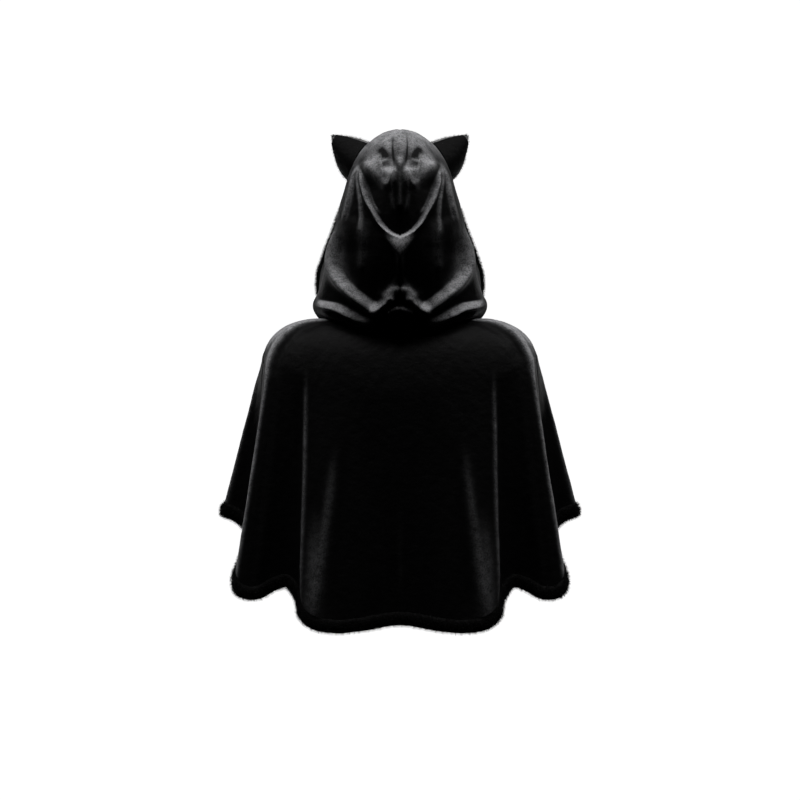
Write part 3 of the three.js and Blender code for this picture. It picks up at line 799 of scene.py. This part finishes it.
def tongue_blend(height, painted_light, x, z):
    """Under the lip's lowest point the cloth swells out as a tongue with a pointed foot and a painted
    highlight.
    """
    share = np.clip((z - TONGUE_FOOT) / (TONGUE_TOP - TONGUE_FOOT), 0, 1)
    width = 1 - ease(x, TONGUE_HALF * share * 0.4, TONGUE_HALF * share + 8.0)
    under = np.exp(-(np.clip(TONGUE_FOOT - z, 0, None) / TONGUE_UNDER) ** 2)
    over = 1 - ease(z - TONGUE_TOP - LIP_CURVE * x * x, -1.0, 1.5)
    swell = TONGUE_START + TONGUE_SLOPE * (TONGUE_TOP - np.clip(z, TONGUE_FOOT, TONGUE_TOP))
    # Where a highlight is painted on the tongue
    lit = 1 - ease(x, TONGUE_HALF * share * 0.5, TONGUE_HALF * share + 2.0)
    lit = lit * ease(z, TONGUE_FOOT, TONGUE_TOP)
    return height + width * under * over * (swell - height), painted_light + TONGUE_PAINTED_LIGHT * lit * over


def fold_height(points):
    """The height of the folds, and the light and shade painted along them."""
    x, y, z = np.abs(points[..., 0]), points[..., 1], points[..., 2]
    height, painted_light = np.zeros(x.shape), np.zeros(x.shape)
    for _, ridge, reach, floor, spread, bright, width, points_on in HOOD_FOLDS:
        far, along = line_distance(smooth_line(points_on), x, z)
        taper = ease(along, 0.0, FOLD_START)
        if points_on[-1][0] > 0:
            taper = taper * (1 - ease(along, FOLD_END, 1.0))
        over = np.clip(-far, 0, None)
        sink = ease(over, 0, reach)
        depth = floor * np.exp(-(np.clip(over - reach, 0, None) / FLOOR_FADE) ** 2)
        depth = depth * (1 - ease(z, CROWN_FROM, CROWN_TO))
        above = ridge * (1 - sink) + depth * sink
        height += taper * np.where(far < 0, above, ridge * np.exp(-(far / spread) ** 2))
        # Painted light along the fold: a highlight, or painted shade where its share is negative
        painted_light += taper * bright * np.exp(-((far + width * PAINTED_LIGHT_ABOVE) / width) ** 2)
    behind = ease(y, FADE_FROM, FADE_TO)
    height, painted_light = tongue_blend(height, painted_light, x, z)
    return height * behind, painted_light * behind


# Soft creases of the sides, which the photograph doesn't show, along the arcs
SIDE_CREASES = [
    # share up at the back and at the face, share across where it starts and ends, spread, height
    (0.13, 0.20, 0.45, 1.30, 0.030, 2.4),
    (0.32, 0.44, 0.50, 1.30, 0.040, -2.0),
    (0.60, 0.56, 0.50, 1.30, 0.045, 1.6),
    (0.84, 0.88, 0.10, 1.20, 0.030, -1.2),
]


def side_height(across, up):
    height = np.zeros(across.shape)
    for back, face, start, end, spread, rise in SIDE_CREASES:
        share = np.clip((across - start) / (end - start), 0, 1)
        centre = back + (face - back) * share
        fade = ease(across, start, start + 0.15) * (1 - ease(across, end - 0.2, end))
        height += rise * fade * np.exp(-((up - centre) / spread) ** 2)
    return height


print("side creases:", len(SIDE_CREASES))

# %% [markdown]
# The halves are sewn from mirrored pieces. A Mirror modifier would do it, but each half is a piece
# of its own here, so the points of one are turned over for the other. At the brow the two runs of
# the surface lie along one line, so the normals there are taken from a little further in.

# %% Hood halves
HOOD_COLUMNS, HOOD_ROWS = 124, 172
BACK_COLUMNS, BACK_CROWDING = 94, 1.15
LOW_ROWS = 120
CORNER_ACROSS, CORNER_UP = 0.93, 0.96
HOOD_SEAMS = [(0, False), (0, True), (1, False), (1, True)]
SETTLED_UP = 0.06


def hood_normals(points, across, up):
    normals = -grid_normals(points)
    i = np.searchsorted(across[:, 0], CORNER_ACROSS)
    j = np.searchsorted(up[0], CORNER_UP)
    normals[i:, j:] = normals[i, j]
    return normals


def hood_points(across, up):
    points = hood_smooth(across, up)
    normals = hood_normals(points, across, up)
    height, painted_light = fold_height(points)
    raised = (height + side_height(across, up) + unevenness(points)) * ease(up, 0, SETTLED_UP)
    points = points + normals * (raised - seam_dips(points, HOOD_SEAMS))[..., None]
    points[0, :, 0] = 0.0
    return points, painted_light


def on_side(points, side):
    """The points on the wearer's left for a side of 1, or mirrored for a side of -1."""
    moved = points.copy()
    moved[..., 0] = np.maximum(moved[..., 0], 0.0) * side
    return moved


HOOD_GRID = np.meshgrid(
    np.concatenate([
        np.linspace(0, 1, BACK_COLUMNS) ** BACK_CROWDING * SIDE_SHARE,
        np.linspace(SIDE_SHARE, 1, HOOD_COLUMNS - BACK_COLUMNS + 1)[1:],
    ]),
    np.concatenate([
        np.linspace(0, 0.5, LOW_ROWS),
        np.linspace(0.5, 1, HOOD_ROWS - LOW_ROWS + 1)[1:],
    ]),
    indexing="ij",
)
HOOD_OUTER, HOOD_PAINTED_LIGHT = hood_points(*HOOD_GRID)
HOOD_NORMALS = hood_normals(HOOD_OUTER, *HOOD_GRID)
for side, label in ((1, "left"), (-1, "right")):
    outer = on_side(HOOD_OUTER, side)
    inner = on_side(HOOD_OUTER - HOOD_NORMALS * CLOTH, side)
    piece = shell(f"hood_{label}_velvet", outer, inner, [VELVET, BACKING])
    # Painted highlight where the hood faces up, and painted light and shade along its folds
    paint_light(piece, HOOD_NORMALS[..., 2], HOOD_PAINTED_LIGHT)
    dress(piece, f"hood_{label}")
    print(piece.name, len(piece.data.polygons), "faces,", square_metres(outer), "square metres")

# %% [markdown]
# The trim is faux fur: thousands of short hairs on a woven backing. A particle system could grow
# them, but its hairs aren't mesh, and an export would lose them. Geometry Nodes can make them as
# real geometry. Points are strewn over a slim roll of backing, and on each stands a tapered, bent
# hair. The tree starts with named inputs for its sizes and a seed, so it serves every strip.

# %% Fur inputs and one hair
FUR_INPUTS = [
    ("Backing", "NodeSocketGeometry", None),
    ("Hairs per square metre", "NodeSocketFloat", 300000.0),
    ("Length", "NodeSocketFloat", 0.008),
    ("Root radius", "NodeSocketFloat", 0.0003),
    ("Comb", "NodeSocketVector", (0.0, 0.0, -0.5)),
    ("Ruffle", "NodeSocketFloat", 0.5),
    ("Seed", "NodeSocketInt", 1),
    ("Dye", "NodeSocketMaterial", None),
]
HAIR_SIDES, HAIR_SEGMENTS = 3, 2
HAIR_BEND = 0.35


def fur_inputs(tree):
    for name, kind, value in FUR_INPUTS:
        socket = tree.interface.new_socket(name, in_out="INPUT", socket_type=kind)
        if value is not None:
            socket.default_value = value
    tree.interface.new_socket("Fur", in_out="OUTPUT", socket_type="NodeSocketGeometry")
    start = tree.nodes.new("NodeGroupInput")
    return {socket.name: Flow(tree, socket) for socket in start.outputs if socket.name}


def bent_hair(given):
    """A thin tapered cone that bends over towards its tip."""
    length = given["Length"]
    hair = length.node(
        "GeometryNodeMeshCone", {"fill_type": "NGON"}, Vertices=HAIR_SIDES,
        Side_Segments=HAIR_SEGMENTS, Radius_Top=0.0, Radius_Bottom=given["Root radius"], Depth=length,
    )
    place = length.node("GeometryNodeInputPosition")
    share = place.node("ShaderNodeSeparateXYZ", out=2, Vector=place) / length
    bend = place.node("ShaderNodeCombineXYZ", X=share * share * length * HAIR_BEND, Y=0.0, Z=0.0)
    return hair.node("GeometryNodeSetPosition", Geometry=hair, Offset=bend)


print("fur inputs:", ", ".join(name for name, _, _ in FUR_INPUTS))

# %% [markdown]
# Real fur lies in locks. Hairs that each lean at random would look like a brush. So a hair starts
# out square to the backing and leans with the comb. A slow noise that its neighbours share then
# forms the locks, and only the last bit of its lean is its own.

# %% Lean of the hairs
CLUMP_SCALE, CLUMP_LEAN, STRAY_LEAN = 170.0, 3.0, 0.6
FULL_TURN = 6.283


def added(first, second):
    return first.node("ShaderNodeVectorMath", {"operation": "ADD"}, i0=first, i1=second)


def scaled(first, by):
    return first.node("ShaderNodeVectorMath", {"operation": "SCALE"}, i0=first, Scale=by)


def random_vector(flow, low, high, seed):
    return flow.node(
        "FunctionNodeRandomValue", {"data_type": "FLOAT_VECTOR"}, i0=low, i1=high, Seed=seed,
    )


def hair_turn(given, normal):
    """Which way each hair points, and how far it is spun about itself."""
    place = normal.node("GeometryNodeInputPosition")
    clumps = place.node("ShaderNodeTexNoise", out=1, Vector=place, Scale=CLUMP_SCALE, Detail=2.0)
    clumps = added(clumps, (-0.5, -0.5, -0.5))
    stray = random_vector(place, (-1.0, -1.0, -1.0), (1.0, 1.0, 1.0), given["Seed"])
    lean = added(normal, given["Comb"])
    lean = added(lean, scaled(clumps, given["Ruffle"] * CLUMP_LEAN))
    lean = added(lean, scaled(stray, given["Ruffle"] * STRAY_LEAN))
    turned = lean.node("FunctionNodeAlignRotationToVector", {"axis": "Z"}, Vector=lean)
    spin = random_vector(place, (0.0, 0.0, 0.0), (0.0, 0.0, FULL_TURN), given["Seed"] + 1)
    return turned.node(
        "FunctionNodeRotateRotation", {"rotation_space": "LOCAL"}, Rotation=turned, Rotate_By=spin,
    )


print("locks are about", round(1000 / CLUMP_SCALE, 1), "mm wide")

# %% [markdown]
# The tree puts a hair on each point. Instances alone would be lighter, but an export would lose
# them. So the hairs are joined to their backing, made real, and only then given their dye.

# %% Fur tree
SHORTEST, LONGEST = 0.62, 1.12


def fur_tree():
    tree = bpy.data.node_groups.new("grow_fur", "GeometryNodeTree")
    given = fur_inputs(tree)
    backing = given["Backing"]
    points = backing.node(
        "GeometryNodeDistributePointsOnFaces", {"distribute_method": "RANDOM"},
        Mesh=backing, Density=given["Hairs per square metre"], Seed=given["Seed"],
    )
    normal = Flow(tree, points.socket.node.outputs["Normal"])
    size = backing.node(
        "FunctionNodeRandomValue", {"data_type": "FLOAT"}, out=1,
        i2=SHORTEST, i3=LONGEST, Seed=given["Seed"] + 2,
    )
    grown = points.node(
        "GeometryNodeInstanceOnPoints", Points=points, Instance=bent_hair(given),
        Rotation=hair_turn(given, normal), Scale=size,
    )
    joined = tree.nodes.new("GeometryNodeJoinGeometry")
    for geometry in (backing, grown):
        tree.links.new(geometry.socket, joined.inputs[0])
    real = grown.node("GeometryNodeRealizeInstances", Geometry=Flow(tree, joined.outputs[0]))
    dyed = real.node("GeometryNodeSetMaterial", Geometry=real, Material=given["Dye"])
    end = tree.nodes.new("NodeGroupOutput")
    tree.links.new(dyed.socket, end.inputs[0])
    return tree


FUR_TREE = fur_tree()
print("nodes in the fur tree:", len(FUR_TREE.nodes))

# %% [markdown]
# The fur could stay a live modifier, but a finished mesh is the same in every export. So the
# modifier's result becomes the piece's own mesh. A piece is given the number of triangles that it
# may have, and the number of hairs follows from that and from the area of its backing.

# %% Growing fur
HAIR_FACES = 10


def triangle_count(mesh):
    return sum(len(face.vertices) - 2 for face in mesh.polygons)


def grow_fur(piece, triangles, length, comb, ruffle, seed, root=0.0004):
    """Turns a roll of backing into fur of about so many triangles."""
    area = sum(face.area for face in piece.data.polygons)
    density = (triangles - triangle_count(piece.data)) / HAIR_FACES / area
    values = {
        "Hairs per square metre": density, "Length": length, "Comb": comb, "Ruffle": ruffle,
        "Seed": seed, "Root radius": root, "Dye": piece.data.materials[0],
    }
    grower = piece.modifiers.new("fur", "NODES")
    grower.node_group = FUR_TREE
    for item in FUR_TREE.interface.items_tree:
        if item.name in values:
            grower[item.identifier] = values[item.name]
    bpy.context.view_layer.update()
    evaluated = piece.evaluated_get(bpy.context.evaluated_depsgraph_get())
    mesh = bpy.data.meshes.new_from_object(evaluated)
    piece.modifiers.clear()
    old = piece.data
    piece.data = mesh
    bpy.data.meshes.remove(old)
    mesh.name = piece.name
    for face in mesh.polygons:
        face.use_smooth = True
    print(piece.name, triangle_count(mesh), "triangles")


print("triangles of a hair:", HAIR_FACES)

# %% [markdown]
# A strip of fur is folded over the edge of the cloth and sewn down, so its backing is a slim roll.
# A bevelled curve could make it, but its rings would twist where the hem turns. Here they stand
# square to the edge, because the panel's own points and normals give their place.

# %% Rolls of backing
CORE_SIDES = 12


def roll(name, rings):
    count, sides = rings.shape[:2]
    vertices = np.concatenate([rings.reshape(-1, 3), rings[[0, -1]].mean(axis=1)]) * MM
    index = np.arange(count * sides).reshape(count, sides)
    after = np.roll(index, -1, axis=1)
    walls = np.stack([index[:-1], index[1:], after[1:], after[:-1]], -1).reshape(-1, 4)
    tip = count * sides
    caps = [[tip, b, a] for a, b in zip(index[0], after[0])]
    caps += [[tip + 1, a, b] for a, b in zip(index[-1], after[-1])]
    mesh = bpy.data.meshes.new(name)
    mesh.from_pydata(vertices.tolist(), [], walls.tolist() + caps)
    mesh.materials.append(FUR)
    return finished_piece(name, mesh)


def edge_rings(edge, normals, inside, past_edge, thick, tall):
    """Rings of the backing, whose middle lies so far past the edge."""
    tangent = np.gradient(edge, axis=0)
    on = np.cross(tangent, normals)
    on /= np.linalg.norm(on, axis=-1, keepdims=True)
    on *= np.sign(((edge - inside) * on).sum(-1))[:, None]
    middle = edge + on * past_edge - normals * CLOTH / 2
    angle = np.arange(CORE_SIDES) / CORE_SIDES * 2 * math.pi
    out = normals[:, None] * (np.cos(angle) * thick)[None, :, None]
    past = on[:, None] * (np.sin(angle) * tall)[None, :, None]
    return middle[:, None] + out + past


print("sides of a roll:", CORE_SIDES)

# %% [markdown]
# The hem has one strip for each panel, and the face opening one for each half of the hood. One
# ring of fur for all would cross the seams, where the real strips are cut and joined. The rolls
# are as far past the edge, as thick and as tall as the solids that they stand for.

# %% Fur along the edges
HEM = {"past_edge": 10.0, "thick": 5.4, "tall": 10.4}
HEM_HAIR, HEM_COMB, HEM_RUFFLE = 0.0058, (0.0, 0.0, -0.45), 0.75
FACE = {"past_edge": 9.2, "thick": 5.8, "tall": 9.4}
FACE_HAIR, FACE_COMB, FACE_RUFFLE = 0.0050, 0.25, 0.5

for node, triangles, seed in (("back", 155000, 11), ("front_left", 80000, 12), ("front_right", 80000, 13)):
    _, points, normals = PANELS[node]
    rings = edge_rings(points[:, -1], normals[:, -1], points[:, -3], **HEM)
    trim = roll(node + "_hem_fur_strip", rings)
    grow_fur(trim, triangles, HEM_HAIR, HEM_COMB, HEM_RUFFLE, seed)
    dress(trim, node + "_hem_fur")


def round_the_face(grid, inwards):
    """A line up the side of the face and along the brow, so many points in from the edge."""
    return np.concatenate([grid[-1 - inwards, 2:], grid[-2::-1, -1 - inwards][2:]])


rings = edge_rings(
    round_the_face(HOOD_OUTER, 0), round_the_face(HOOD_NORMALS, 0), round_the_face(HOOD_OUTER, 3), **FACE,
)
for side, label, seed in ((1, "left", 14), (-1, "right", 15)):
    trim = roll(f"hood_{label}_fur_strip", on_side(rings, side))
    grow_fur(trim, 75000, FACE_HAIR, (side * FACE_COMB, 0.0, 0.0), FACE_RUFFLE, seed)
    dress(trim, f"hood_{label}_fur")

# %% [markdown]
# Each ear is two plies sewn round the edge: plush behind and fur in front. A cone would look stuck
# on, because a real ear is cupped and its base follows the hood that it is sewn into. So its sheet
# is stretched between a line on the hood's own surface and the tip, and bowed along its middle.

# %% The ear's sheet
EAR_BASE = table("along across up", [(0.0, 0.36, 0.885), (0.5, 0.56, 0.790), (1.0, 0.80, 0.715)])
EAR_TIP, EAR_TIP_WIDTH = np.array([109.0, -62.0, 307.0]), 7.0
EAR_BOW_INNER, EAR_BOW_OUTER = 3.0, 10.0
EAR_SEAT = 0.6
STEP = 0.002


def hood_spot(across, up):
    """A point of the smooth hood and its normal."""
    here = hood_smooth(across, up)
    over = hood_smooth(across + STEP, up) - hood_smooth(across - STEP, up)
    rise = hood_smooth(across, up + STEP) - hood_smooth(across, up - STEP)
    normal = -np.cross(over, rise)
    return here, normal / np.linalg.norm(normal, axis=-1, keepdims=True)


def ear_seat(share):
    """The line on the hood that the ear is sewn to."""
    across = smooth(EAR_BASE, "along", "across", share)
    here, normal = hood_spot(across, smooth(EAR_BASE, "along", "up", share))
    return here + normal * EAR_SEAT


EAR_ENDS = ear_seat(np.array([0.0, 1.0]))
EAR_WIDTH = np.linalg.norm(EAR_ENDS[1] - EAR_ENDS[0])


def ear_sheet(along, rise):
    slant = (EAR_ENDS[1] - EAR_ENDS[0]) / EAR_WIDTH
    tip = EAR_TIP + slant * ((along - 0.5) * EAR_TIP_WIDTH)[..., None]
    bow = (EAR_BOW_OUTER + EAR_BOW_INNER) * along - EAR_BOW_INNER
    point = ear_seat(along) * (1 - rise)[..., None] + tip * rise[..., None]
    return point + slant * (bow * 4 * rise * (1 - rise))[..., None]


print("base of an ear:", round(float(EAR_WIDTH)), "mm")

# %% [markdown]
# The plush behind is cut a little smaller than the fur in front, so the fur shows as a rim,
# made pale by painted highlight.
# One solid ear with two finishes would have a hard line there. Two plies leave a real edge, and
# both of them thin out towards the seam, where they are stitched together.

# %% Ears
EAR_PLY, EAR_PLY_GAP, FRONT_THINNER = 3.2, 0.3, 0.6
EAR_FRONT_LIFT = 0.03
EAR_RIM, EAR_BACK_INSET = 0.035, 0.055
EAR_ROUNDED, EAR_THINNEST = 1 / 9, 0.25
EAR_COLUMNS, EAR_ROWS = 30, 26
EAR_HAIR, EAR_HAIR_ROOT, EAR_RUFFLE = 0.0048, 0.00030, 0.35
EAR_COMB_ASIDE = 0.2


def ear_ply(side, label, face):
    """The back ply of an ear for a face of 1, and the front one for a face of -1."""
    lift = 0.0 if face > 0 else EAR_FRONT_LIFT
    past = -EAR_BACK_INSET if face > 0 else EAR_RIM
    columns = np.linspace(-past, 1 + past, EAR_COLUMNS)
    along, rise = np.meshgrid(columns, np.linspace(lift, 1 + past, EAR_ROWS), indexing="ij")
    sheet = ear_sheet(along, rise)
    normals = grid_normals(sheet)
    normals *= np.where(normals[..., 1:2] < 0, -1, 1)
    to_edge = np.minimum(np.minimum(along, 1 - along), 1 - rise) + past
    round_off = (to_edge / EAR_ROUNDED).clip(0, 1)
    round_off = np.sqrt(1 - (1 - round_off) ** 2) * (1 - EAR_THINNEST) + EAR_THINNEST
    near = sheet + normals * (EAR_PLY_GAP / 2 * face)
    depth = EAR_PLY if face > 0 else EAR_PLY * FRONT_THINNER
    far = near + normals * (depth * face * round_off)[..., None]
    name = f"ear_{label}_velvet" if face > 0 else f"ear_{label}_fur"
    cloth = PLUSH if face > 0 else EAR_FUR_PAINTED_LIGHT
    return shell(name, on_side(far, side), on_side(near, side), [cloth, cloth])


for side, label, seed in ((1, "left", 16), (-1, "right", 17)):
    back = dress(ear_ply(side, label, 1), f"ear_{label}_back")
    front = ear_ply(side, label, -1)
    comb = (side * EAR_COMB_ASIDE, -1.0, EAR_COMB_ASIDE)
    grow_fur(front, 38000, EAR_HAIR, comb, EAR_RUFFLE, seed, EAR_HAIR_ROOT)
    dress(front, f"ear_{label}_front")
    print(back.name, len(back.data.polygons), "faces")

# %% [markdown]
# A wire hook and eye close the throat. They are rigid, and their shape is already right in the
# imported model, so they aren't made again and only get their finish.

# %% Hook and eye
for node in ("throat_hook", "throat_eye"):
    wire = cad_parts[node]
    wire.data.materials.clear()
    wire.data.materials.append(STEEL)
    print(node, len(wire.data.polygons), "faces")

# %% [markdown]

# %% [markdown]
# The photograph has a plain white ground. White paper round the cape would light it from all
# sides, and the black cloth would wash out. So the floor, well below the hanging cape, and the
# dome all round it are pale, but only the camera sees them.

# %% Floor and dome
FLOOR_Z, FLOOR_RADIUS, FLOOR_GLOW = -2.4, 7.0, 0.9
DOME_RADIUS, DOME_GLOW = 14.0, 1.05
WORLD_GLOW = 0.002


def stage_material(name, strength):
    material, _, shader, _ = new_material(name)
    constants(shader, Base_Color=grey(0.85), Roughness=0.9)
    constants(shader, Emission_Color=grey(1.0), Emission_Strength=strength)
    return material


def stage_piece(name, made, material):
    mesh = bpy.data.meshes.new(name)
    made.to_mesh(mesh)
    made.free()
    mesh.materials.append(material)
    piece = bpy.data.objects.new(name, mesh)
    bpy.context.scene.collection.objects.link(piece)
    piece.visible_diffuse = False
    piece.visible_glossy = False
    piece.visible_shadow = False


floor = bmesh.new()
bmesh.ops.create_circle(floor, cap_ends=True, segments=96, radius=FLOOR_RADIUS)
bmesh.ops.translate(floor, verts=floor.verts, vec=(0.0, 0.0, FLOOR_Z))
stage_piece("floor", floor, stage_material("pale_floor", FLOOR_GLOW))
dome = bmesh.new()
bmesh.ops.create_uvsphere(dome, u_segments=48, v_segments=24, radius=DOME_RADIUS)
stage_piece("dome", dome, stage_material("pale_dome", DOME_GLOW))

world = bpy.data.worlds.new("studio")
world.use_nodes = True
world.node_tree.nodes["Background"].inputs["Color"].default_value = grey(1.0)
world.node_tree.nodes["Background"].inputs["Strength"].default_value = WORLD_GLOW
bpy.context.scene.world = world
print("floor at", FLOOR_Z, "m")

# %% [markdown]
# Soft lamps light the cape. One lamp at the camera would flatten it, because black pile that
# faces the eye stays black. So the overhead lamp, a little behind the cape as the camera is,
# lights the crown, the shoulders and the tops of the folds. Two high lamps at the sides and two
# low ones beyond the cape draw thin pale lines along its edges.

# %% Lamps
def lamp(name, place, aim, size, power_watts):
    data = bpy.data.lights.new(name, "AREA")
    data.shape = "RECTANGLE"
    data.size, data.size_y = size
    data.energy = power_watts
    made = bpy.data.objects.new(name, data)
    made.location = place
    made.rotation_mode = "QUATERNION"
    made.rotation_quaternion = (Vector(aim) - Vector(place)).to_track_quat("-Z", "Y")
    bpy.context.scene.collection.objects.link(made)


lamp("overhead", (0.0, 0.45, 2.4), (0.0, 0.0, 0.1), (2.0, 0.5), 60.0)
for side in (1, -1):
    lamp(f"upper_{side}", (1.6 * side, -0.1, 1.9), (0.0, 0.0, 0.0), (1.0, 0.6), 30.0)
    lamp(f"rim_{side}", (1.6 * side, -2.0, 0.1), (0.0, 0.0, -0.1), (0.5, 1.8), 10.0)
